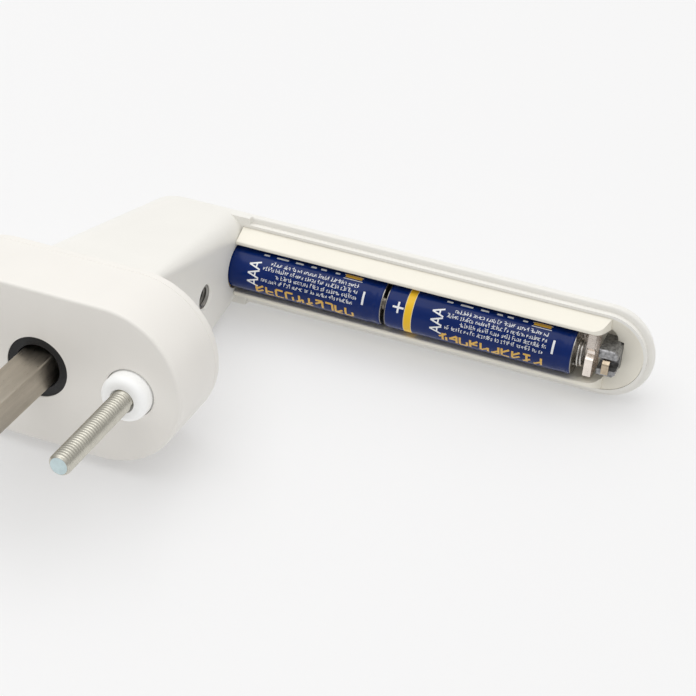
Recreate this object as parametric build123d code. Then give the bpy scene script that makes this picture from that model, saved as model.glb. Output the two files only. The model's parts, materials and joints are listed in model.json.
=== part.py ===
"""Battery-powered lever window handle, all lengths in millimetres.

Frame: the origin is on the turning axis, at the rosette's rear face.
+X runs along the closed grip, +Y points from the window sash into the room, +Z is up.
"""
from build123d import *
import math
import os

# ---------------------------------------------------------------- driving dimensions
SCREW_SPACING = 43.0          # the usual spacing of window-handle screws
SCREW_X = SCREW_SPACING / 2
SPINDLE = 7.0                 # across the flats of the square spindle
SPINDLE_REAR = -35.0          # how far the spindle stands out behind the rosette
SPINDLE_FRONT = 30.0

ROSETTE_LENGTH = 66.2
ROSETTE_WIDTH = 36.6
ROSETTE_DEPTH = 19.0
CAP_THICKNESS = 2.4
SEAM_ROUND = 0.2
HOUSING_WALL = 2.2
REAR_WALL = 2.6
SPINDLE_HOLE_R = 7.05
LINER_BORE_R = 5.15
BUSH_R = 5.3                  # peg of each screw bush, outside the rear face
BUSH_BODY_R = 5.1             # the bush inside the rosette
BUSH_ROUND = 1.6
BUSH_HOLE_R = 5.6
BUSH_PROUD = 3.5              # how far each screw bush stands behind the rear face
SCREW_R = 2.5
SCREW_SHANK_R = 2.25          # plain shank under the rolled thread
SCREW_THREAD_END = -3.8
SCREW_TIP = -29.4
SCREW_HEAD_Y = 11.5

TURN_GAP = 0.4                # between the rosette's cap and the turning neck
NECK_ROOT_Y = ROSETTE_DEPTH + TURN_GAP
NECK_FACE_X = 18.1            # the neck's flat inner face
NECK_ROOT_LEFT = -14.5
NECK_TOP_LEFT = -7.45
NECK_ROOT_HALF = 17.2
NECK_TOP_HALF = 11.64

RIM_Y = 63.05                 # plane of the grip's open rim
LEDGE_Y = 64.4                # ledge that a battery cover's edge sits on
LEDGE_START_X = 19.6
LEDGE_ROUND = 0.5
BACK_Y = 71.5                 # room side of the grip
GRIP_HALF = 11.4
GRIP_END_X = 105.4            # centre of the grip's round end
GRIP_LEFT = -7.5
BACK_FILLET = 7.8
LIP_R = 9.8
LIP_WALL = 0.7
INNER_R = 7.0                 # half-width of the hollow behind the battery tray
INNER_BACK_Y = 69.9
SHOULDER_Y = 66.2             # where the wide hollow steps down to the narrow one

CELL_Y = 61.2                 # axis of the two round cells
CELL_R = 5.25
CELL_CAN_R = 5.05
CELL_LENGTH = 44.5
CELL_NUB = 0.95
CELL_STARTS = (10.85, 55.40)  # tip of each cell's plus nub
CELL_BORE_R = 5.7             # hollow round the inner cell, inside the neck

TRAY_EDGE_Y = 59.1
TRAY_FLOOR_Y = 66.9
TRAY_WALL_IN = 6.1
TRAY_WALL_TOP = 7.0           # outer corner of a wall's free edge
TRAY_WALL_ROUND = 0.35
TRAY_WALL_END_X = 104.6
TRAY_WALL_FOOT_X = 106.2
TRAY_WALL_END_ROUND = 2.9
TROUGH_END_X = 108.0
FLANGE_Y = 63.3
FLANGE_BACK_Y = 66.0
FLANGE_R = 9.05
TROUGH_R = 6.9
DISH_DEPTH = 1.3
DISH_TAPER = 74
LATCH_X = (105.1, 109.4)
LATCH_FRONT_Y = 59.15
LATCH_HALF = 3.2
LATCH_SLOT = (-1.6, 1.2)
STRIP_X = (102.2, 104.0)      # the sprung contact strip between the coil and the latch block
TRAY_SCREW_X = (40.0, 84.0)
TRAY_SCREW_R = 1.0
BOARD_SCREWS = ((6.8, -6.2), (6.8, 6.2))
BOARD_SCREW_R = 0.8

HUB_JOURNAL_R = 8.0
BEARING_BORE_R = 8.05
DETENT_R = 8.55
NOTCH_RING_R = 9.3            # the notches' centres
NOTCH_R = 1.8
BALL_R = 1.5
BALL_Y = 6.3
BALL_Z = 10.4
MAGNET_RING_R = 12.6
COVER_SCREW_Y = 43.5          # tapped hole that holds the battery cover's screw

os.makedirs("parts", exist_ok=True)


# ---------------------------------------------------------------- helpers
def depth_plane(y):
    """Plane parallel to the rosette at depth y; sketches on it use (x, z)."""
    return Plane(origin=(0, y, 0), x_dir=(1, 0, 0), z_dir=(0, -1, 0))


def cross_plane(x):
    """Plane square to the grip at x; sketches on it use (y, z)."""
    return Plane(origin=(x, 0, 0), x_dir=(0, 1, 0), z_dir=(1, 0, 0))


def plate(outline, y0, y1):
    """Solid with an outline given in (x, z), from depth y0 to depth y1."""
    return extrude(depth_plane(y0) * outline, amount=-(y1 - y0))


def disc(x, z, radius, y0, y1):
    """Round solid along Y."""
    return plate(Pos(x, z) * Circle(radius), y0, y1)


def bar(outline, x0, x1):
    """Solid with an outline given in (y, z), from x0 to x1 along the grip."""
    return extrude(cross_plane(x0) * outline, amount=x1 - x0)


def rod(y, z, radius, x0, x1):
    """Round solid along X."""
    return bar(Pos(y, z) * Circle(radius), x0, x1)


def block(x0, x1, y0, y1, z0, z1):
    """Box given by its low and high corners."""
    centre = ((x0 + x1) / 2, (y0 + y1) / 2, (z0 + z1) / 2)
    return Pos(*centre) * Box(x1 - x0, y1 - y0, z1 - z0)


def stadium(length, width):
    """Outline with half-round ends, centred on the turning axis."""
    return SlotOverall(length, width)


def grip_outline(radius, left, end_x=GRIP_END_X):
    """Outline in (x, z) of a strip with a half-round end at end_x."""
    strip = Pos((left + end_x) / 2, 0) * Rectangle(end_x - left, 2 * radius)
    return strip + Pos(end_x, 0) * Circle(radius)


def edges_at_depth(shape, y, tolerance=0.01):
    """Edges of a shape that lie wholly in the plane at depth y."""
    found = []
    for edge in shape.edges():
        box = edge.bounding_box()
        if abs(box.min.Y - y) < tolerance and abs(box.max.Y - y) < tolerance:
            found.append(edge)
    return found


def save(shape, node):
    """Write one node, as one solid or as a group of separate solids."""
    shape.label = node
    export_step(shape, "parts/" + node + ".step")


# ---------------------------------------------------------------- rosette
def rosette_housing():
    seam_y = ROSETTE_DEPTH - CAP_THICKNESS
    outer = plate(stadium(ROSETTE_LENGTH, ROSETTE_WIDTH), 0, seam_y)
    outer = fillet(edges_at_depth(outer, 0), 0.7)
    outer = fillet(edges_at_depth(outer, seam_y), SEAM_ROUND)
    inside = stadium(ROSETTE_LENGTH - 2 * HOUSING_WALL, ROSETTE_WIDTH - 2 * HOUSING_WALL)
    housing = outer - plate(inside, REAR_WALL, seam_y)
    housing -= disc(0, 0, SPINDLE_HOLE_R, -1, REAR_WALL + 1)
    for side in (-1, 1):
        housing -= disc(side * SCREW_X, 0, BUSH_HOLE_R, -1, REAR_WALL + 1)
    return housing


def rosette_cap():
    seam_y = ROSETTE_DEPTH - CAP_THICKNESS
    cap = plate(stadium(ROSETTE_LENGTH, ROSETTE_WIDTH), seam_y, ROSETTE_DEPTH)
    cap = fillet(edges_at_depth(cap, ROSETTE_DEPTH), 0.9)
    cap = fillet(edges_at_depth(cap, seam_y), SEAM_ROUND)
    inset = 2 * HOUSING_WALL + 0.3
    plug = stadium(ROSETTE_LENGTH - inset, ROSETTE_WIDTH - inset)
    bore = stadium(ROSETTE_LENGTH - inset - 3, ROSETTE_WIDTH - inset - 3)
    skirt = plate(plug, seam_y - 2.0, seam_y) - plate(bore, seam_y - 2.0, seam_y)
    cap += skirt
    return cap - disc(0, 0, 11.1, 0, ROSETTE_DEPTH + 1)


def spindle_bush():
    """Black liner in the rear wall's centre hole."""
    bush = disc(0, 0, SPINDLE_HOLE_R, 0.25, REAR_WALL) + disc(0, 0, 8.4, REAR_WALL, 4.0)
    return bush - disc(0, 0, LINER_BORE_R, 0, 5)


def screw_bush(side):
    x = side * SCREW_X
    bush = disc(x, 0, BUSH_R, -BUSH_PROUD, -0.2)
    bush = fillet(edges_at_depth(bush, -BUSH_PROUD), BUSH_ROUND)
    bush += disc(x, 0, BUSH_BODY_R, -0.2, 10.9)
    bush += disc(x, 0, 6.6, REAR_WALL, 3.8)
    return bush - disc(x, 0, SCREW_R + 0.25, -BUSH_PROUD - 1, 12)


def rosette_screw(side):
    """M5 machine screw with a pan head and a cross recess."""
    x = side * SCREW_X
    shank = disc(x, 0, SCREW_R, SCREW_TIP, SCREW_THREAD_END)
    shank = chamfer(edges_at_depth(shank, SCREW_TIP), 0.55)
    shank += disc(x, 0, SCREW_SHANK_R, SCREW_THREAD_END, SCREW_HEAD_Y)
    head = disc(x, 0, 4.4, SCREW_HEAD_Y, SCREW_HEAD_Y + 2.8)
    head = fillet(edges_at_depth(head, SCREW_HEAD_Y + 2.8), 1.2)
    screw = shank + head
    for turned in (0, 90):
        cut = plate(Pos(x, 0) * Rot(0, 0, turned) * Rectangle(4.4, 0.9), 12.8, 15)
        screw -= cut
    return screw


def detent_carrier():
    """Zinc plate that holds the two sprung balls round the detent ring."""
    outline = stadium(61.4, 31.8)
    carrier = plate(outline, 4.2, 7.9) - disc(0, 0, 10.5, 4, 8)
    for side in (-1, 1):
        carrier -= disc(side * SCREW_X, 0, BUSH_R + 0.15, 4, 8)
        carrier -= block(-1.65, 1.65, 4.7, 8, side * 12.7 - 2.7, side * 12.7 + 2.7)
    return carrier


def bearing_plate():
    """Zinc plate whose bore carries the turning hub."""
    plate_body = plate(stadium(61.4, 31.8), 8.0, 10.9) + disc(0, 0, 12.0, 10.9, 12.4)
    plate_body -= disc(0, 0, BEARING_BORE_R, 7, 13)
    for side in (-1, 1):
        plate_body -= disc(side * SCREW_X, 0, BUSH_R + 0.15, 7, 13)
    return plate_body


def screw_washer(side):
    x = side * SCREW_X
    return disc(x, 0, 7.0, 10.9, SCREW_HEAD_Y) - disc(x, 0, SCREW_R + 0.2, 10, 12)


def detent_ball(side):
    return Pos(0, BALL_Y, side * BALL_Z) * Sphere(BALL_R)


def detent_spring(side):
    """Small coil spring that pushes a ball towards the turning axis."""
    coil_path = Helix(pitch=0.72, height=2.8, radius=1.05)
    profile = Plane(origin=coil_path @ 0, z_dir=coil_path % 0) * Circle(0.19)
    coil = Pos(0, BALL_Y, 12.2) * sweep(profile, path=coil_path)
    return coil if side > 0 else coil.mirror(Plane.XY)


def position_magnets():
    """Four small magnets behind the cap, one for each quarter of the turn."""
    magnets = []
    for quarter in range(4):
        turn = math.radians(90 * quarter)
        x = MAGNET_RING_R * math.cos(turn)
        z = MAGNET_RING_R * math.sin(turn)
        magnets.append(disc(x, z, 1.6, 15.2, ROSETTE_DEPTH - CAP_THICKNESS))
    return Compound(children=magnets)


# ---------------------------------------------------------------- hub and spindle
def hub():
    """Zinc hub: journal in the bearing plate, shoulder through the cap, root in the neck."""
    body = disc(0, 0, 6.0, 4.5, 7.9) + disc(0, 0, HUB_JOURNAL_R, 7.9, 13.2)
    body += disc(0, 0, 10.7, 13.2, NECK_ROOT_Y) + disc(0, 0, 9.0, NECK_ROOT_Y, 36.0)
    groove = disc(0, 0, 7, 4.9, 5.5) - disc(0, 0, 5.4, 4.9, 5.5)
    body -= groove
    body -= plate(Rectangle(SPINDLE + 0.1, SPINDLE + 0.1), 4, SPINDLE_FRONT + 0.2)
    body -= Pos(0, 26.5, -7) * Cylinder(2.5, 8)
    return body


def spindle():
    square = plate(Rectangle(SPINDLE, SPINDLE), SPINDLE_REAR, SPINDLE_FRONT)
    square = chamfer(edges_at_depth(square, SPINDLE_REAR), 0.8)
    lengthwise = square.edges().filter_by(Axis.Y)
    return fillet(lengthwise, 0.35)


def detent_ring():
    """Hardened ring with a rounded notch every quarter turn."""
    ring = disc(0, 0, DETENT_R, 5.6, 7.8) - disc(0, 0, 6.0, 5, 8)
    for quarter in range(4):
        turn = math.radians(90 * quarter)
        x = NOTCH_RING_R * math.cos(turn)
        z = NOTCH_RING_R * math.sin(turn)
        ring -= disc(x, z, NOTCH_R, 5, 8)
    return ring


def retaining_clip():
    clip = disc(0, 0, 7.2, 4.95, 5.45) - disc(0, 0, 5.45, 4, 6)
    return clip - block(4.0, 8, 4, 6, -1.6, 1.6)


def spring_washer():
    return disc(0, 0, 10.4, 12.55, 13.15) - disc(0, 0, 8.3, 12, 14)


def grub_screw():
    """Set screw that clamps the spindle in the hub, turned from under the neck."""
    screw = Pos(0, 26.5, -8.05) * Cylinder(2.45, 9.0)
    socket = Pos(0, 26.5, -11.2) * extrude(RegularPolygon(1.4, 6), amount=3.0, both=True)
    return screw - socket


# ---------------------------------------------------------------- handle shell
def neck_section(y, left, half, left_corner, right_corner):
    """Neck's cross-section at depth y: large corners outside, small ones inside."""
    right = NECK_FACE_X
    corners = ((left, -half), (right, -half), (right, half), (left, half))
    radii = (left_corner, right_corner, right_corner, left_corner)
    return depth_plane(y) * make_face(FilletPolyline(*corners, radius=radii, close=True))


def handle_outside():
    """The L-shaped outside: a tapered neck running into the rounded back of the grip."""
    root = neck_section(NECK_ROOT_Y, NECK_ROOT_LEFT, NECK_ROOT_HALF, 9.5, 1.7)
    top = neck_section(BACK_Y - BACK_FILLET + 0.95, NECK_TOP_LEFT, NECK_TOP_HALF, 7.9, 5.6)
    neck = loft([root, top], ruled=True)
    strip = Pos((GRIP_LEFT + GRIP_END_X) / 2, 0) * Rectangle(GRIP_END_X - GRIP_LEFT, 2 * GRIP_HALF)
    left_corners = strip.vertices().group_by(Axis.X)[0]
    outline = fillet(left_corners, 8.3) + Pos(GRIP_END_X, 0) * Circle(GRIP_HALF)
    grip = plate(outline, RIM_Y, BACK_Y)
    grip = fillet(edges_at_depth(grip, BACK_Y), BACK_FILLET)
    return neck + grip


def cut_ledge(body):
    """Cut the step round the rim that a cover's edge closes over, and soften its outside."""
    around = block(LEDGE_START_X, 130, RIM_Y - 5, LEDGE_Y, -20, 20)
    body -= around - plate(grip_outline(LIP_R, 0), RIM_Y - 6, LEDGE_Y + 1)
    outer_edges = []
    for edge in edges_at_depth(body, LEDGE_Y):
        middle = edge @ 0.5
        from_end = math.hypot(middle.X - GRIP_END_X, middle.Z)
        if abs(middle.Z) > LIP_R + 0.5 or (middle.X > GRIP_END_X and from_end > LIP_R + 0.5):
            outer_edges.append(edge)
    return fillet(outer_edges, LEDGE_ROUND)


def grip_hollow():
    wide = plate(grip_outline(LIP_R - LIP_WALL, NECK_FACE_X), RIM_Y - 1, SHOULDER_Y)
    deep = plate(grip_outline(INNER_R, 8.0), SHOULDER_Y - 0.1, INNER_BACK_Y)
    for x in TRAY_SCREW_X:
        deep -= disc(x, 0, 2.2, 68.0, INNER_BACK_Y + 0.5)
        deep += disc(x, 0, TRAY_SCREW_R, 67.9, INNER_BACK_Y + 0.9)
    return wide, deep


def neck_hollow():
    """Room in the neck for the radio board, the inner cell's end and its contact."""
    board_room = block(-6.5, 9.0, 38.5, 55.0, -8.0, 8.0)
    for x, z in BOARD_SCREWS:
        board_room -= disc(x, z, 1.7, 38.0, 46.0)
        board_room += disc(x, z, BOARD_SCREW_R, 39.5, 46.5)
    wire_way = block(0.0, 7.5, 54.0, INNER_BACK_Y, -5.0, 5.0)
    cell_end = rod(CELL_Y, 0, CELL_BORE_R, 7.0, NECK_FACE_X + 1)
    mouth = block(15.0, NECK_FACE_X + 1, CELL_Y, SHOULDER_Y, -6.1, 6.1)
    strip_way = block(0.0, NECK_FACE_X, SHOULDER_Y - 0.1, INNER_BACK_Y, -5.0, 5.0)
    return board_room, wire_way, cell_end, mouth, strip_way


def handle_shell():
    shell = cut_ledge(handle_outside())
    for hollow in (*grip_hollow(), *neck_hollow()):
        shell -= hollow
    shell -= disc(0, 0, 9.0, NECK_ROOT_Y - 1, 36.0)
    insert_hole = rod(COVER_SCREW_Y, 0, 2.9, 9.5, NECK_FACE_X + 1)
    mouth = cross_plane(NECK_FACE_X - 0.45) * (Pos(COVER_SCREW_Y, 0) * Circle(2.9))
    flare = extrude(mouth, amount=0.46, taper=-40)
    shell -= insert_hole
    shell -= flare
    shell -= Pos(0, 26.5, -14) * Cylinder(2.5, 12)
    return shell


def threaded_insert():
    """Steel insert in the neck, tapped M5 for the cover's screw."""
    insert = rod(COVER_SCREW_Y, 0, 2.9, 9.6, 17.6)
    return insert - rod(COVER_SCREW_Y, 0, 2.1, 10.6, 18)


# ---------------------------------------------------------------- battery tray
def tray_wall(side):
    """Side wall: upright inside, sloping down to the rim outside, rounded off at its far end."""
    profile = (
        (FLANGE_BACK_Y, side * TRAY_WALL_IN),
        (TRAY_EDGE_Y, side * TRAY_WALL_IN),
        (TRAY_EDGE_Y, side * TRAY_WALL_TOP),
        (FLANGE_Y, side * FLANGE_R),
        (FLANGE_BACK_Y, side * FLANGE_R),
    )
    section = make_face(Polyline(*profile, close=True))
    free_corners = [corner for corner in section.vertices() if abs(corner.X - TRAY_EDGE_Y) < 0.01]
    section = fillet(free_corners, TRAY_WALL_ROUND)
    wall = bar(section, NECK_FACE_X + 0.1, TRAY_WALL_FOOT_X)
    side_view = (
        (NECK_FACE_X, FLANGE_BACK_Y),
        (NECK_FACE_X, TRAY_EDGE_Y),
        (TRAY_WALL_END_X, TRAY_EDGE_Y),
        (TRAY_WALL_FOOT_X, FLANGE_Y),
        (TRAY_WALL_FOOT_X, FLANGE_BACK_Y),
    )
    outline = make_face(Polyline(*side_view, close=True))
    upper_corner = outline.vertices().sort_by_distance((TRAY_WALL_END_X, TRAY_EDGE_Y, 0))[0]
    outline = fillet(upper_corner, TRAY_WALL_END_ROUND)
    return wall & extrude(outline, amount=20, both=True)


def battery_tray():
    """White tray: flange flush with the rim, two sloping walls, a trough and a dished end."""
    start = NECK_FACE_X + 0.1
    tray = plate(grip_outline(FLANGE_R, start), FLANGE_Y, FLANGE_BACK_Y)
    tray += plate(grip_outline(TROUGH_R, start), FLANGE_Y, TRAY_FLOOR_Y + 1.0)
    for side in (-1, 1):
        tray += tray_wall(side)
    dish = depth_plane(FLANGE_Y - 0.02) * (Pos(GRIP_END_X, 0) * Circle(FLANGE_R - 0.3))
    beyond_walls = block(TRAY_WALL_FOOT_X, 120, 60, 70, -12, 12)
    tray -= extrude(dish, amount=-DISH_DEPTH, taper=DISH_TAPER) & beyond_walls
    trough = block(start - 1, TROUGH_END_X, TRAY_EDGE_Y - 1, TRAY_FLOOR_Y, -TRAY_WALL_IN, TRAY_WALL_IN)
    end_corners = trough.edges().filter_by(Axis.Y).group_by(Axis.X)[-1]
    tray -= fillet(end_corners, 2.6)
    socket_half = LATCH_HALF + 0.05
    tray -= block(LATCH_X[0], LATCH_X[1] + 0.05, TRAY_EDGE_Y, TRAY_FLOOR_Y, -socket_half, socket_half)
    for x in TRAY_SCREW_X:
        tray -= disc(x, 0, 1.1, TRAY_FLOOR_Y - 1, TRAY_FLOOR_Y + 2)
    return tray


def tray_screws():
    screws = []
    for x in TRAY_SCREW_X:
        head = disc(x, 0, 1.9, TRAY_FLOOR_Y - 0.45, TRAY_FLOOR_Y)
        screws.append(head + disc(x, 0, TRAY_SCREW_R, TRAY_FLOOR_Y, 70.8))
    return Compound(children=screws)


# ---------------------------------------------------------------- cells and contacts
def cell_can(start):
    shoulder = start + CELL_NUB
    return rod(CELL_Y, 0, CELL_CAN_R, shoulder, start + CELL_LENGTH)


def cell_sleeve(start):
    shoulder = start + CELL_NUB
    end = start + CELL_LENGTH - 0.35
    return rod(CELL_Y, 0, CELL_R, shoulder, end) - rod(CELL_Y, 0, CELL_CAN_R, 0, 130)


def cell_plus_cap(start):
    nub = rod(CELL_Y, 0, 1.9, start, start + CELL_NUB - 0.25)
    return nub + rod(CELL_Y, 0, 3.6, start + CELL_NUB - 0.25, start + CELL_NUB)


def plus_contact():
    """Nickel plate behind the inner cell's nub, with a tail towards the board."""
    face = block(10.35, 10.8, CELL_Y - 3.2, CELL_Y + 3.2, -2.5, 2.5)
    tail = block(4.0, 10.5, CELL_Y - 3.2, CELL_Y - 2.8, -1.2, 1.2)
    drop = block(4.0, 4.4, 50.5, CELL_Y - 2.8, -1.2, 1.2)
    return face + tail + drop


def contact_holder():
    """Plastic stop that backs the plus contact inside the neck."""
    return block(7.6, 10.3, 58.6, 64.6, -3.0, 3.0)


def minus_spring():
    """Conical coil that presses on the outer cell's flat end."""
    x0 = CELL_STARTS[1] + CELL_LENGTH + 0.05
    coil_path = Helix(pitch=0.72, height=1.45, radius=3.3, cone_angle=-20)
    profile = Plane(origin=coil_path @ 0, z_dir=coil_path % 0) * Circle(0.24)
    coil = sweep(profile, path=coil_path)
    turned = Rot(0, 90, 0) * coil
    return Pos(x0 + 0.28, CELL_Y, 0) * turned


def minus_contact():
    """Tinned strip behind the coil: a folded upright that stands on a foot."""
    fold = (
        (66.68, 5.2), (60.6, 5.2), (59.9, 2.4), (61.4, 1.1), (61.4, 0.2), (60.2, -0.7), (59.9, -4.6),
        (60.9, -5.2), (66.68, -5.2),
    )
    upright = bar(trace(Polyline(*fold), line_width=0.3), *STRIP_X)
    foot = block(98.5, STRIP_X[1], 66.5, 66.85, -5.3, 5.3)
    return upright + foot


def latch_block():
    """Cast block at the grip's end with two jaws that a cover's hook would catch."""
    body = block(*LATCH_X, LATCH_FRONT_Y, 66.85, -LATCH_HALF, LATCH_HALF)
    body = chamfer(body.edges().filter_by(Axis.Y).group_by(Axis.X)[-1], 0.7)
    body = chamfer(edges_at_depth(body, LATCH_FRONT_Y), 0.25)
    slot = block(LATCH_X[0] - 1, LATCH_X[1] + 1, LATCH_FRONT_Y - 1, 62.6, *LATCH_SLOT)
    return body - slot


def latch_leaf():
    """Small leaf spring that comes out of the slot and hangs in front of the lower jaw."""
    bend = ((62.4, 0.4), (59.6, 0.6), (58.8, -0.2), (58.75, -2.5))
    path = FilletPolyline(*bend, radius=0.5)
    return bar(trace(path, line_width=0.25), 106.3, 107.9)


def return_strip():
    """Flat conductor behind the tray, from the far contact back to the neck."""
    return block(2.5, 104.5, 68.2, 68.5, 2.7, 4.7)


def antenna_wire():
    return rod(69.1, -4.2, 0.4, 3.0, 96.0)


# ---------------------------------------------------------------- electronics in the neck
def radio_board():
    board = block(-6.0, 8.5, 46.0, 47.0, -7.4, 7.4)
    for x, z in BOARD_SCREWS:
        board -= disc(x, z, BOARD_SCREW_R, 45, 48)
    return board


def radio_module():
    can = block(-4.5, 3.0, 47.0, 49.2, -5.0, 5.0)
    return fillet(can.edges().filter_by(Axis.Y), 0.6)


def turn_sensor():
    """Sensor on the board's rosette side that reads the magnets."""
    return block(4.5, 7.5, 44.6, 46.0, -1.5, 1.5)


def board_screws():
    screws = []
    for x, z in BOARD_SCREWS:
        screws.append(disc(x, z, BOARD_SCREW_R, 40.0, 47.0) + disc(x, z, 1.3, 47.0, 47.9))
    return Compound(children=screws)


# ---------------------------------------------------------------- write every node
def write_rosette():
    save(rosette_housing(), "rosette_housing")
    save(rosette_cap(), "rosette_cap")
    save(spindle_bush(), "spindle_bush")
    save(detent_carrier(), "detent_carrier")
    save(bearing_plate(), "bearing_plate")
    save(position_magnets(), "position_magnets")
    for side, name in ((-1, "left"), (1, "right")):
        save(screw_bush(side), "screw_bush_" + name)
        save(screw_washer(side), "screw_washer_" + name)
        save(rosette_screw(side), "rosette_screw_" + name)
    for side, name in ((-1, "lower"), (1, "upper")):
        save(detent_ball(side), "detent_ball_" + name)
        save(detent_spring(side), "detent_spring_" + name)


def write_handle():
    save(hub(), "hub")
    save(spindle(), "spindle")
    save(detent_ring(), "detent_ring")
    save(retaining_clip(), "retaining_clip")
    save(spring_washer(), "spring_washer")
    save(grub_screw(), "grub_screw")
    save(handle_shell(), "handle_shell")
    save(threaded_insert(), "threaded_insert")
    save(battery_tray(), "battery_tray")
    save(tray_screws(), "tray_screws")
    for number, start in enumerate(CELL_STARTS, start=1):
        prefix = "cell_" + str(number)
        save(cell_can(start), prefix + "_can")
        save(cell_sleeve(start), prefix + "_sleeve")
        save(cell_plus_cap(start), prefix + "_plus_cap")
    save(plus_contact(), "plus_contact")
    save(contact_holder(), "contact_holder")
    save(minus_spring(), "minus_spring")
    save(minus_contact(), "minus_contact")
    save(latch_block(), "latch_block")
    save(latch_leaf(), "latch_leaf")
    save(return_strip(), "return_strip")
    save(antenna_wire(), "antenna_wire")
    save(radio_board(), "radio_board")
    save(radio_module(), "radio_module")
    save(turn_sensor(), "turn_sensor")
    save(board_screws(), "board_screws")


write_rosette()
write_handle()
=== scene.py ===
"""Looks of the battery-powered window handle, in metres, in the CAD model's frame.

+X runs along the closed grip, +Y points from the sash into the room, +Z is up, and the
origin is on the spindle's axis at the rosette's rear face.
"""

import json
import math
import random

import bpy
from mathutils import Matrix, Vector


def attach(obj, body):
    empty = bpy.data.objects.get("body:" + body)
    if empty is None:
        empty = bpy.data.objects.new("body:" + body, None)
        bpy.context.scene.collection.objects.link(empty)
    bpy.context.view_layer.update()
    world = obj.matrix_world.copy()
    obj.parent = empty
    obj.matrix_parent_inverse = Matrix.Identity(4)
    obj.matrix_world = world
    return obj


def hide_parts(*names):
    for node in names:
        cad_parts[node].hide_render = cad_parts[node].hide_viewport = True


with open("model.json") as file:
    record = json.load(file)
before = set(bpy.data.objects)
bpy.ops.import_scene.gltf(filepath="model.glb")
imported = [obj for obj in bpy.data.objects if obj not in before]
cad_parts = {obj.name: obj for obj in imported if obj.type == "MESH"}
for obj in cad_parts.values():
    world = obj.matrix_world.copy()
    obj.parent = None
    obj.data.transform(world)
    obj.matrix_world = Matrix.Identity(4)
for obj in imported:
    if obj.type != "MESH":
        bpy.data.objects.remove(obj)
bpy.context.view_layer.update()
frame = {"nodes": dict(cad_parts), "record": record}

MM = 0.001
nodes = frame["nodes"]


# ---------------------------------------------------------------- camera
CAMERA_PLACE = Vector((163.9, -280.3, 201.7)) * MM
CAMERA_AZIMUTH = 18.925
CAMERA_ELEVATION = 30.915
CAMERA_ROLL = 4.939
CAMERA_LENS = 93.6


def make_camera():
    azimuth = math.radians(CAMERA_AZIMUTH)
    elevation = math.radians(CAMERA_ELEVATION)
    roll = math.radians(CAMERA_ROLL)
    back = Vector((math.sin(azimuth) * math.cos(elevation),
                   -math.cos(azimuth) * math.cos(elevation),
                   math.sin(elevation)))
    level_right = Vector((0, 0, 1)).cross(back).normalized()
    level_up = back.cross(level_right)
    right = level_right * math.cos(roll) + level_up * math.sin(roll)
    up = level_up * math.cos(roll) - level_right * math.sin(roll)
    data = bpy.data.cameras.new("camera")
    data.lens = CAMERA_LENS
    data.sensor_width = 36.0
    data.clip_start = 0.02
    data.clip_end = 50.0
    camera = bpy.data.objects.new("camera", data)
    turn = Matrix((right, up, back)).transposed().to_4x4()
    camera.matrix_world = Matrix.Translation(CAMERA_PLACE) @ turn
    bpy.context.scene.collection.objects.link(camera)
    bpy.context.scene.camera = camera


# ---------------------------------------------------------------- light and floor
# The handle lies on its side: the rosette's long edge and the grip's side touch the table.
REST_EDGE = Vector((0, 19.0, -18.3)) * MM
REST_GRIP = Vector((60.0, 65.0, -11.75)) * MM
FLOOR_DROP = 0.15 * MM
FLOOR_HALF = 4.0


def floor_turn():
    """Rotation that lays the floor along the two lines that touch it."""
    across = Vector((1, 0, 0))
    rise = REST_GRIP - REST_EDGE
    slope = Vector((0, rise.y, rise.z)).normalized()
    normal = across.cross(slope).normalized()
    return Matrix((across, slope, normal)).transposed()


def make_floor():
    size = FLOOR_HALF
    mesh = bpy.data.meshes.new("floor")
    turn = floor_turn()
    corners = []
    for x, y in ((-size, -size), (size, -size), (size, size), (-size, size)):
        corners.append(REST_EDGE + turn @ Vector((x, y, -FLOOR_DROP)))
    mesh.from_pydata([tuple(c) for c in corners], [], [(0, 1, 2, 3)])
    floor = bpy.data.objects.new("floor", mesh)
    bpy.context.scene.collection.objects.link(floor)
    floor.data.materials.append(FLOOR_MATERIAL)


WALL_TOP = 0.36                # upward part of a direction where the studio's walls give way
CEILING_EDGE = 0.72
WALL_LIGHT = 0.5
CEILING_LIGHT = 0.92
BACKDROP_LIGHT = 0.93
SOFTBOX_POWER = 7.0
BUSH_PAINTED_GLOW = 0.08              # painted light: a glow on the bushes, standing in for light that gets through them
TABLE_GLOW = 0.25              # a little light from the table itself keeps the shadows on it pale


def area_light(name, place, aim, size, power, colour=(1, 1, 1)):
    data = bpy.data.lights.new(name, "AREA")
    data.shape = "RECTANGLE"
    data.size, data.size_y = size
    data.energy = power
    data.color = colour
    light = bpy.data.objects.new(name, data)
    place = Vector(place)
    facing = (Vector(aim) - place).normalized()
    light.rotation_mode = "QUATERNION"
    light.rotation_quaternion = facing.to_track_quat("-Z", "Y")
    light.location = place
    bpy.context.scene.collection.objects.link(light)


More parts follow.
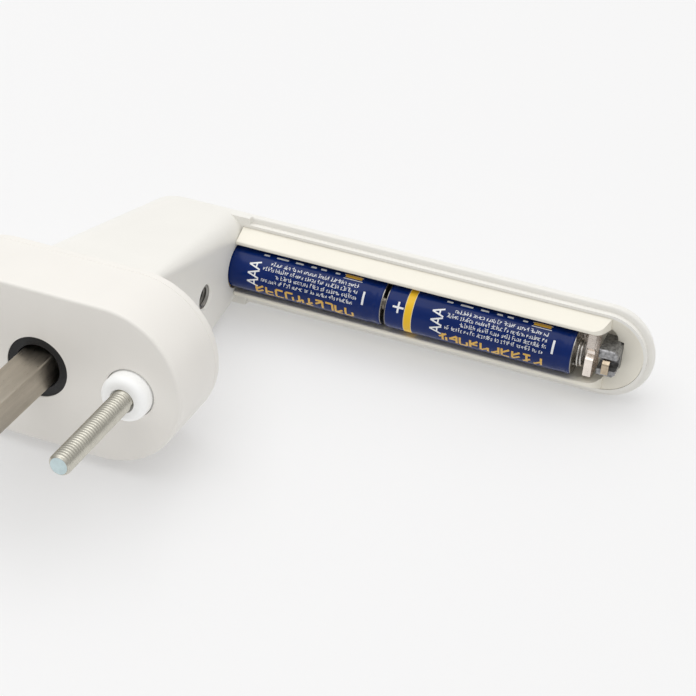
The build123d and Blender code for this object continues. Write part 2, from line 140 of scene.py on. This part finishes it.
def make_lights():
    """Overhead softbox in a studio whose lower walls are dark, as glossy surfaces show it."""
    world = bpy.data.worlds.new("studio")
    bpy.context.scene.world = world
    world.use_nodes = True
    tree = world.node_tree
    background = tree.nodes["Background"]
    background.inputs["Color"].default_value = (1, 0.995, 0.985, 1)
    direction = tree.nodes.new("ShaderNodeTexCoord")
    split = tree.nodes.new("ShaderNodeSeparateXYZ")
    height = tree.nodes.new("ShaderNodeMapRange")
    height.interpolation_type = "SMOOTHSTEP"
    height.inputs["From Min"].default_value = WALL_TOP
    height.inputs["From Max"].default_value = CEILING_EDGE
    height.inputs["To Min"].default_value = WALL_LIGHT
    height.inputs["To Max"].default_value = CEILING_LIGHT
    rays = tree.nodes.new("ShaderNodeLightPath")
    seen = tree.nodes.new("ShaderNodeMix")
    tree.links.new(direction.outputs["Generated"], split.inputs["Vector"])
    tree.links.new(split.outputs["Z"], height.inputs["Value"])
    tree.links.new(rays.outputs["Is Camera Ray"], seen.inputs["Factor"])
    tree.links.new(height.outputs["Result"], seen.inputs["A"])
    seen.inputs["B"].default_value = BACKDROP_LIGHT
    tree.links.new(seen.outputs["Result"], background.inputs["Strength"])
    area_light("softbox_top", (-0.15, -0.05, 1.3), (0.04, 0.03, 0), (1.4, 1.4), SOFTBOX_POWER)


# ---------------------------------------------------------------- materials
def material(name, colour, roughness, metallic=0.0, coat=0.0, coat_roughness=0.1, specular=0.5,
             shade=0.03, shade_scale=60.0, grain=0.02, grain_scale=3000.0, stretch=(1, 1, 1),
             rough_spread=0.06):
    """Procedural finish: slow shade changes, a fine grain in the bump and a varying roughness."""
    made = bpy.data.materials.new(name)
    made.use_nodes = True
    tree = made.node_tree
    shader = tree.nodes["Principled BSDF"]
    shader.inputs["Metallic"].default_value = metallic
    shader.inputs["Coat Weight"].default_value = coat
    shader.inputs["Coat Roughness"].default_value = coat_roughness
    shader.inputs["Specular IOR Level"].default_value = specular
    place = tree.nodes.new("ShaderNodeTexCoord")
    mapping = tree.nodes.new("ShaderNodeMapping")
    mapping.inputs["Scale"].default_value = stretch
    tree.links.new(place.outputs["Object"], mapping.inputs["Vector"])

    slow = tree.nodes.new("ShaderNodeTexNoise")
    slow.inputs["Scale"].default_value = shade_scale
    slow.inputs["Detail"].default_value = 4.0
    tree.links.new(mapping.outputs["Vector"], slow.inputs["Vector"])
    ramp = tree.nodes.new("ShaderNodeValToRGB")
    low = [c * (1 - shade) for c in colour]
    high = [min(1.0, c * (1 + shade)) for c in colour]
    ramp.color_ramp.elements[0].position = 0.3
    ramp.color_ramp.elements[0].color = (*low, 1)
    ramp.color_ramp.elements[1].position = 0.7
    ramp.color_ramp.elements[1].color = (*high, 1)
    tree.links.new(slow.outputs["Fac"], ramp.inputs["Fac"])
    tree.links.new(ramp.outputs["Color"], shader.inputs["Base Color"])

    spread = tree.nodes.new("ShaderNodeMapRange")
    spread.inputs["From Min"].default_value = 0.3
    spread.inputs["From Max"].default_value = 0.7
    spread.inputs["To Min"].default_value = max(0.02, roughness - rough_spread)
    spread.inputs["To Max"].default_value = min(1.0, roughness + rough_spread)
    fine = tree.nodes.new("ShaderNodeTexNoise")
    fine.inputs["Scale"].default_value = grain_scale
    fine.inputs["Detail"].default_value = 3.0
    tree.links.new(mapping.outputs["Vector"], fine.inputs["Vector"])
    tree.links.new(fine.outputs["Fac"], spread.inputs["Value"])
    tree.links.new(spread.outputs["Result"], shader.inputs["Roughness"])
    bump = tree.nodes.new("ShaderNodeBump")
    bump.inputs["Strength"].default_value = grain
    bump.inputs["Distance"].default_value = 0.0002
    tree.links.new(fine.outputs["Fac"], bump.inputs["Height"])
    tree.links.new(bump.outputs["Normal"], shader.inputs["Normal"])
    return made


FLOOR_MATERIAL = material("table", (0.63, 0.63, 0.635), 0.6, shade=0.01, shade_scale=2.0, grain=0.01,
                          grain_scale=400.0, specular=0.15)
FLOOR_SHADER = FLOOR_MATERIAL.node_tree.nodes["Principled BSDF"]
FLOOR_SHADER.inputs["Emission Color"].default_value = (1, 1, 1, 1)
FLOOR_SHADER.inputs["Emission Strength"].default_value = TABLE_GLOW
PAINT = material("white_paint", (0.88, 0.865, 0.82), 0.38, shade=0.015, grain=0.05, grain_scale=1800.0)
ROSETTE = material("rosette_white", (0.885, 0.86, 0.815), 0.42, shade=0.015, grain=0.04, grain_scale=2200.0)
BUSH = material("bush_white", (0.97, 0.975, 0.97), 0.34, shade=0.015, grain=0.02)
BUSH_SHADER = BUSH.node_tree.nodes["Principled BSDF"]
# painted light: the bushes get a faint glow so they read brighter than the lamps alone make them
BUSH_SHADER.inputs["Emission Color"].default_value = (1, 1, 0.98, 1)
BUSH_SHADER.inputs["Emission Strength"].default_value = BUSH_PAINTED_GLOW
TRAY = material("tray_cream", (0.89, 0.855, 0.755), 0.36, coat=0.1, shade=0.02, grain=0.02)
LINER = material("liner_black", (0.012, 0.012, 0.013), 0.6, shade=0.3, grain=0.15)
SPINDLE = material("spindle_steel", (0.47, 0.425, 0.36), 0.36, metallic=1.0, shade=0.12, shade_scale=500.0,
                   grain=0.12, grain_scale=5200.0, stretch=(1, 0.06, 1), rough_spread=0.1)
STEEL = material("bright_steel", (0.60, 0.58, 0.51), 0.3, metallic=1.0, shade=0.1, shade_scale=300.0,
                 grain=0.06, grain_scale=4000.0)
PLATED = material("zinc_blue", (0.62, 0.74, 0.76), 0.5, metallic=0.6, shade=0.08, shade_scale=900.0,
                  grain=0.15, grain_scale=3000.0)
ZINC = material("zinc_casting", (0.5, 0.5, 0.51), 0.45, metallic=1.0, shade=0.15, grain=0.2)
TAPPED = material("tapped_steel", (0.3, 0.29, 0.27), 0.36, metallic=1.0, shade=0.15, grain=0.2)
LATCH = material("latch_zinc", (0.33, 0.33, 0.335), 0.46, metallic=1.0, shade=0.45, shade_scale=1500.0,
                 grain=0.6, grain_scale=2600.0, rough_spread=0.14)
SPRING = material("spring_steel", (0.58, 0.56, 0.53), 0.25, metallic=1.0, shade=0.1, grain=0.05)
NICKEL = material("nickel_sheet", (0.86, 0.78, 0.71), 0.24, metallic=1.0, shade=0.1, shade_scale=400.0,
                  grain=0.08, grain_scale=2500.0)
LEAF = material("leaf_spring", (0.52, 0.43, 0.32), 0.3, metallic=1.0, shade=0.15, shade_scale=900.0,
                grain=0.1)
MAGNET = material("magnet_nickel", (0.7, 0.7, 0.71), 0.15, metallic=1.0, shade=0.05)
CAN = material("cell_can_steel", (0.34, 0.325, 0.3), 0.26, metallic=1.0, shade=0.06, grain=0.04)
CAP = material("cell_cap_nickel", (0.7, 0.66, 0.6), 0.16, metallic=1.0, shade=0.06, grain=0.04)
BOARD = material("board_green", (0.02, 0.16, 0.06), 0.3, coat=0.4, shade=0.2, shade_scale=900.0, grain=0.1)
MODULE = material("module_can", (0.68, 0.68, 0.67), 0.3, metallic=1.0, shade=0.06, grain=0.1)
CHIP = material("chip_black", (0.02, 0.02, 0.02), 0.55, shade=0.2, grain=0.2)
WIRE = material("wire_red", (0.4, 0.03, 0.02), 0.35, shade=0.1, grain=0.05)
INK_WHITE = material("ink_white", (0.82, 0.83, 0.85), 0.25, coat=0.5, shade=0.05, grain=0.02)
INK_GOLD = material("ink_gold", (0.72, 0.42, 0.05), 0.25, coat=0.5, shade=0.06, grain=0.02)

FILM_NAVY = (0.002, 0.017, 0.12)
FILM_YELLOW = (0.85, 0.52, 0.03)
FILM_PALE = (0.75, 0.68, 0.45)
RING_START = 61.06            # yellow ring on each cell, counted on the outer cell
RING_END = 62.75
OUTER_CELL_START = 55.40
INNER_CELL_START = 10.85
PRINT_DRIFT = 0.4             # fitted: sets the inner cell's ring nearer its tip, so that the neck hides it


def film_material(name, ring_start, ring_end):
    """Glossy navy film with a yellow ring between two thin pale lines."""
    made = material(name, FILM_NAVY, 0.16, specular=0.2, shade=0.12, grain=0.02)
    tree = made.node_tree
    shader = tree.nodes["Principled BSDF"]
    navy = shader.inputs["Base Color"].links[0].from_socket
    place = tree.nodes.new("ShaderNodeTexCoord")
    split = tree.nodes.new("ShaderNodeSeparateXYZ")
    tree.links.new(place.outputs["Object"], split.inputs["Vector"])
    previous = navy
    bands = ((ring_start - 0.12, ring_end + 0.12, FILM_PALE), (ring_start, ring_end, FILM_YELLOW))
    for start, end, colour in bands:
        above = tree.nodes.new("ShaderNodeMath")
        above.operation = "GREATER_THAN"
        above.inputs[1].default_value = start * MM
        below = tree.nodes.new("ShaderNodeMath")
        below.operation = "LESS_THAN"
        below.inputs[1].default_value = end * MM
        both = tree.nodes.new("ShaderNodeMath")
        both.operation = "MULTIPLY"
        mix = tree.nodes.new("ShaderNodeMix")
        mix.data_type = "RGBA"
        tree.links.new(split.outputs["X"], above.inputs[0])
        tree.links.new(split.outputs["X"], below.inputs[0])
        tree.links.new(above.outputs[0], both.inputs[0])
        tree.links.new(below.outputs[0], both.inputs[1])
        tree.links.new(both.outputs[0], mix.inputs["Factor"])
        tree.links.new(previous, mix.inputs["A"])
        mix.inputs["B"].default_value = (*colour, 1)
        previous = mix.outputs["Result"]
    tree.links.new(previous, shader.inputs["Base Color"])
    return made


FILM_OUTER = film_material("film_outer", RING_START, RING_END)
INNER_SHIFT = INNER_CELL_START - OUTER_CELL_START
INNER_RING_START = RING_START + INNER_SHIFT - PRINT_DRIFT
FILM_INNER = film_material("film_inner", INNER_RING_START, INNER_RING_START + RING_END - RING_START)

FINISH = {
    "rosette_white": ROSETTE, "liner_black": LINER, "zinc_casting": ZINC, "magnet_nickel": MAGNET,
    "bush_white": BUSH, "bright_steel": STEEL, "spring_steel": SPRING, "spindle_steel": SPINDLE,
    "white_paint": PAINT, "tray_cream": TRAY, "cell_can_steel": CAN, "cell_sleeve_navy": FILM_OUTER,
    "cell_cap_nickel": CAP, "nickel_sheet": NICKEL, "latch_zinc": LATCH, "wire_red": WIRE,
    "board_green": BOARD, "module_can": MODULE, "chip_black": CHIP,
}


def finish_cad_nodes():
    for part in frame["record"]["subparts"]:
        node = nodes[part["node"]]
        node.data.materials.clear()
        node.data.materials.append(FINISH[part["material_slot"]])
    nodes["latch_leaf"].data.materials[0] = LEAF


# ---------------------------------------------------------------- mesh helpers
def piece(name, points, faces, finish, body, replaced=(), smooth=True):
    """Mesh piece, given in millimetres, that rides on a body."""
    mesh = bpy.data.meshes.new(name)
    mesh.from_pydata([tuple(c * MM for c in p) for p in points], [], faces)
    mesh.validate()
    mesh.update()
    if smooth:
        mesh.polygons.foreach_set("use_smooth", [True] * len(mesh.polygons))
    made = bpy.data.objects.new(name, mesh)
    bpy.context.scene.collection.objects.link(made)
    mesh.materials.append(finish)
    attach(made, body)
    if replaced:
        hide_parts(*replaced)
    return made


def ring_faces(rows, segments):
    """Faces between neighbouring rings of points, when each ring has the same number of points."""
    faces = []
    for row in range(rows - 1):
        for step in range(segments):
            beside = (step + 1) % segments
            faces.append((row * segments + step, row * segments + beside,
                          (row + 1) * segments + beside, (row + 1) * segments + step))
    return faces


def ring_angles(segments):
    return [2 * math.pi * step / segments for step in range(segments)]


# ---------------------------------------------------------------- screws
SCREW_X = 21.5
SCREW_R = 2.42
SCREW_CORE_R = 2.02
SCREW_TIP = -29.4
SCREW_HEAD_Y = 11.5
SCREW_SHANK_R = 2.25
THREAD_PITCH = 0.8
THREAD_END = -3.8
THREAD_SEGMENTS = 40
TIP_FACE_R = 1.86
TIP_START_R = 1.92
TIP_SLOPE = 0.9                # radius gained per mm behind the tip


def thread_radius(turns, core, crest):
    """Radius on a thread's flank, from a fraction of one turn."""
    share = turns % 1.0
    height = 0.5 - 0.5 * math.cos(2 * math.pi * share)
    return core + (crest - core) * height


def make_screw(side, name):
    """Threaded end with a bevelled tip, a plain shank and the domed head inside the rosette."""
    angles = ring_angles(THREAD_SEGMENTS)
    rows = []
    along = SCREW_TIP
    while along < THREAD_END:
        rows.append(along)
        along += THREAD_PITCH / 9
    points = []
    for along in rows:
        bevel = TIP_START_R + (along - SCREW_TIP) * TIP_SLOPE
        for step, angle in enumerate(angles):
            turns = along / THREAD_PITCH - step / THREAD_SEGMENTS
            radius = min(thread_radius(turns, SCREW_CORE_R, SCREW_R), bevel)
            points.append((side * SCREW_X + radius * math.cos(angle), along, radius * math.sin(angle)))
    shank = ((THREAD_END, SCREW_SHANK_R), (SCREW_HEAD_Y, SCREW_SHANK_R), (SCREW_HEAD_Y, 4.3),
             (SCREW_HEAD_Y + 0.15, 4.4), (12.8, 4.4), (13.4, 4.2), (13.9, 3.8), (14.3, 3.0), (14.3, 0.8),
             (12.9, 0.7))
    for along, radius in shank:
        for angle in angles:
            points.append((side * SCREW_X + radius * math.cos(angle), along, radius * math.sin(angle)))
    total = len(rows) + len(shank)
    faces = ring_faces(total, THREAD_SEGMENTS)
    first = len(points)
    for angle in angles:
        points.append((side * SCREW_X + TIP_FACE_R * math.cos(angle), SCREW_TIP,
                       TIP_FACE_R * math.sin(angle)))
    for step in range(THREAD_SEGMENTS):
        beside = (step + 1) % THREAD_SEGMENTS
        faces.append((first + beside, first + step, step, beside))
    socket_floor = (total - 1) * THREAD_SEGMENTS
    faces.append(tuple(socket_floor + step for step in reversed(range(THREAD_SEGMENTS))))
    faces.append(tuple(first + step for step in range(THREAD_SEGMENTS)))
    screw = piece("threaded_screw_" + name, points, faces, STEEL, "rosette",
                  ("rosette_screw_" + name,))
    screw.data.materials.append(PLATED)
    screw.data.polygons[-1].material_index = 1
    screw.data.polygons[-1].use_smooth = False
    return screw


# ---------------------------------------------------------------- tapped hole
INSERT_Y = 43.5
INSERT_START = 10.6
INSERT_END = 17.6
INSERT_R = 2.9
INSERT_ROOT_R = 2.5
INSERT_CREST_R = 2.12


def make_insert():
    """Tapped insert: a ring with a thread inside and a blind bottom."""
    rows = [(INSERT_END, INSERT_R), (INSERT_END, INSERT_ROOT_R + 0.05)]
    along = INSERT_END - 0.15
    while along > INSERT_START:
        rows.append((along, None))
        along -= THREAD_PITCH / 8
    rows.append((INSERT_START, 2.1))
    points = []
    for along, fixed in rows:
        for step, angle in enumerate(ring_angles(THREAD_SEGMENTS)):
            turns = along / THREAD_PITCH - step / THREAD_SEGMENTS
            radius = fixed or thread_radius(turns, INSERT_ROOT_R, INSERT_CREST_R)
            points.append((along, INSERT_Y + radius * math.cos(angle), radius * math.sin(angle)))
    faces = [tuple(reversed(face)) for face in ring_faces(len(rows), THREAD_SEGMENTS)]
    faces.append(tuple((len(rows) - 1) * THREAD_SEGMENTS + step for step in range(THREAD_SEGMENTS)))
    return piece("tapped_insert", points, faces, TAPPED, "handle", ("threaded_insert",))


# ---------------------------------------------------------------- cells
CELL_Y = 61.2
CELL_R = 5.25
CELL_LENGTH = 44.5
CELL_NUB = 0.95
FILM_BEND = 0.55
FILM_ROWS = 24
FILM_SEGMENTS = 72
GROOVE_START = 3.3             # shallow step near the minus end, counted back from it


def round_cell(along, radius, angle):
    return (along, CELL_Y + radius * math.sin(angle), radius * math.cos(angle))


def make_film(number, start, finish):
    """Printed film: rounded over both shoulders and curled a little way over each end."""
    shoulder = start + CELL_NUB
    end = start + CELL_LENGTH - 0.05
    bend = FILM_BEND
    quarter = [math.pi / 2 * step / 6 for step in range(7)]
    rounded = [(shoulder + bend * (1 - math.sin(angle)) - 0.02 * math.cos(angle),
                CELL_R - bend + bend * math.cos(angle)) for angle in quarter]
    profile = [(shoulder + 0.02, 4.0), (shoulder - 0.02, 4.2)]
    profile += sorted(rounded, key=lambda row: row[1])
    straight = end - GROOVE_START - 0.3 - shoulder - bend
    for step in range(1, FILM_ROWS):
        profile.append((shoulder + bend + straight * step / FILM_ROWS, CELL_R))
    profile += [(end - GROOVE_START, CELL_R), (end - 3.15, CELL_R - 0.09), (end - 1.4, CELL_R - 0.07),
                (end - 1.2, CELL_R)]
    for angle in quarter:
        profile.append((end - bend + bend * math.sin(angle), CELL_R - bend + bend * math.cos(angle)))
    profile += [(end, 4.3), (end - 0.1, 4.1)]
    points = []
    for along, radius in profile:
        points += [round_cell(along, radius, angle) for angle in ring_angles(FILM_SEGMENTS)]
    faces = ring_faces(len(profile), FILM_SEGMENTS)
    return piece(f"cell_{number}_film", points, faces, finish, "handle",
                 (f"cell_{number}_sleeve",))


PRINT_R = CELL_R + 0.015

# Places along a cell count from the tip of its plus nub; angles go round it from +Z at 0, and -90 faces
# the sash (-Y).
LETTERS_AT = 14.6
LETTERS_ANGLE = -104.0
LETTER_HEIGHT = 2.7
LETTER_PITCH = 0.76
LETTER_STROKE = 0.36
FINE_ROWS = ((-42.0, 17.0), (-57.0, 15.4), (-72.0, 18.6), (-87.0, 15.4))
FINE_END = 38.2
FINE_HEIGHT = 0.92
FINE_WIDTH = 0.36
FINE_PITCH = 0.54
FINE_STROKE = 0.105
GOLD_ANGLE = -127.0
GOLD_START = 14.2
GOLD_HEIGHT = 2.4
GOLD_WIDTH = 1.7
GOLD_PITCH = 2.45
GOLD_STROKE = 0.52
GOLD_SIGNS = 10
DASH_ANGLE = -16.0
DASHES = ((14.3, 15.7), (17.5, 20.4), (22.2, 24.1), (26.0, 27.3), (28.4, 29.8), (32.0, 33.1))
BOX_PRINT = (34.2, 38.8)
SIGN_ANGLE = -64.0
PLUS_AT = 4.02
PLUS_HALF = 1.3
MINUS_AT = 40.1
MINUS_HALF = 1.55

# Strokes of a letter A, in a box one unit high, and the strokes that the unreadable marks are drawn from.
LETTER_A = (((0.0, 0.0), (0.33, 1.0)), ((0.33, 1.0), (0.66, 0.0)), ((0.12, 0.36), (0.54, 0.36)))
UPRIGHTS = (((0.0, 0.0), (0.0, 1.0)), ((1.0, 0.0), (1.0, 1.0)), ((0.5, 0.0), (0.5, 1.0)))
LEVELS = (((0.0, 0.0), (1.0, 0.0)), ((0.0, 0.5), (1.0, 0.5)), ((0.0, 1.0), (1.0, 1.0)),
          ((0.0, 0.5), (1.0, 1.0)), ((0.0, 0.0), (1.0, 0.5)), ((1.0, 0.0), (1.0, 0.6)))


def stroke(points, faces, start, end, width, to_cell):
    """Thin bar between two flat points, laid on the cell by to_cell(u, v)."""
    run = Vector((end[0] - start[0], end[1] - start[1]))
    side = Vector((-run.y, run.x)).normalized() * width / 2
    steps = 4
    first = len(points)
    for step in range(steps + 1):
        middle = Vector(start) + run * step / steps
        points.append(to_cell(*(middle + side)))
        points.append(to_cell(*(middle - side)))
    for step in range(steps):
        at = first + 2 * step
        faces.append((at, at + 1, at + 3, at + 2))


def mark(points, faces, u, height, broad, width, to_cell, chance):
    """One made-up sign: an upright and two other strokes, which spell nothing."""
    chosen = [chance.choice(UPRIGHTS)] + chance.sample(LEVELS, 2)
    for first, last in chosen:
        stroke(points, faces, (u + first[0] * broad, first[1] * height),
               (u + last[0] * broad, last[1] * height), width, to_cell)


def along_cell(start, angle):
    """Function that lays flat (u, v) on the cell: u along it from start, v round it from angle."""
    def to_cell(u, v):
        return round_cell(start + u, PRINT_R, math.radians(angle) + v / CELL_R)
    return to_cell


def make_prints(number, start):
    """Size letters, polarity signs and rows of small marks that look like fine print."""
    chance = random.Random(40 + number)
    white_points, white_faces = [], []
    gold_points, gold_faces = [], []

    def letters(u, v):
        angle = math.radians(LETTERS_ANGLE) + u / CELL_R
        return round_cell(start + LETTERS_AT - v, PRINT_R, angle)

    for index in range(3):
        for first, last in LETTER_A:
            across = (first[0] + index * LETTER_PITCH) * LETTER_HEIGHT
            beyond = (last[0] + index * LETTER_PITCH) * LETTER_HEIGHT
            stroke(white_points, white_faces, (across, first[1] * LETTER_HEIGHT),
                   (beyond, last[1] * LETTER_HEIGHT), LETTER_STROKE, letters)

    for angle, u in FINE_ROWS:
        to_cell = along_cell(start, angle)
        left_in_word = chance.randint(2, 7)
        while u < FINE_END:
            tall = FINE_HEIGHT * chance.choice((0.7, 0.7, 1.0))
            mark(white_points, white_faces, u, tall, FINE_WIDTH, FINE_STROKE, to_cell, chance)
            u += FINE_PITCH
            left_in_word -= 1
            if left_in_word == 0:
                u += FINE_PITCH * 0.7
                left_in_word = chance.randint(2, 7)

    gold_cell = along_cell(start, GOLD_ANGLE)
    for index in range(GOLD_SIGNS):
        mark(gold_points, gold_faces, GOLD_START + index * GOLD_PITCH, GOLD_HEIGHT, GOLD_WIDTH,
             GOLD_STROKE, gold_cell, chance)

    dash_cell = along_cell(start, DASH_ANGLE)
    for first, last in DASHES:
        stroke(white_points, white_faces, (first, 0.0), (last, 0.0), 0.5, dash_cell)
    stroke(white_points, white_faces, (BOX_PRINT[0], -0.2), (BOX_PRINT[1], -0.2), 1.3, dash_cell)
    stroke(gold_points, gold_faces, (BOX_PRINT[0] + 0.3, 0.1), (BOX_PRINT[1] - 0.3, 0.1), 1.0,
           lambda u, v: lifted(dash_cell(u, v)))

    sign_cell = along_cell(start, SIGN_ANGLE)
    stroke(white_points, white_faces, (MINUS_AT, -MINUS_HALF), (MINUS_AT, MINUS_HALF), 0.5, sign_cell)
    stroke(white_points, white_faces, (PLUS_AT, -PLUS_HALF), (PLUS_AT, PLUS_HALF), 0.45, sign_cell)
    stroke(white_points, white_faces, (PLUS_AT - PLUS_HALF, 0.0), (PLUS_AT + PLUS_HALF, 0.0), 0.45,
           sign_cell)
    piece(f"cell_{number}_white_print", white_points, white_faces, INK_WHITE, "handle")
    piece(f"cell_{number}_gold_print", gold_points, gold_faces, INK_GOLD, "handle")


def lifted(point):
    """The same point a hair further from the cell's axis, so that one ink lies on another."""
    x, y, z = point
    scale = (PRINT_R + 0.01) / PRINT_R
    return (x, CELL_Y + (y - CELL_Y) * scale, z * scale)


# ---------------------------------------------------------------- build everything
make_camera()
make_lights()
make_floor()
finish_cad_nodes()
make_screw(1, "right")
make_screw(-1, "left")
make_insert()
make_film(1, INNER_CELL_START, FILM_INNER)
make_film(2, OUTER_CELL_START, FILM_OUTER)
make_prints(1, INNER_CELL_START)
make_prints(2, OUTER_CELL_START)

bpy.context.scene.view_settings.view_transform = "Standard"
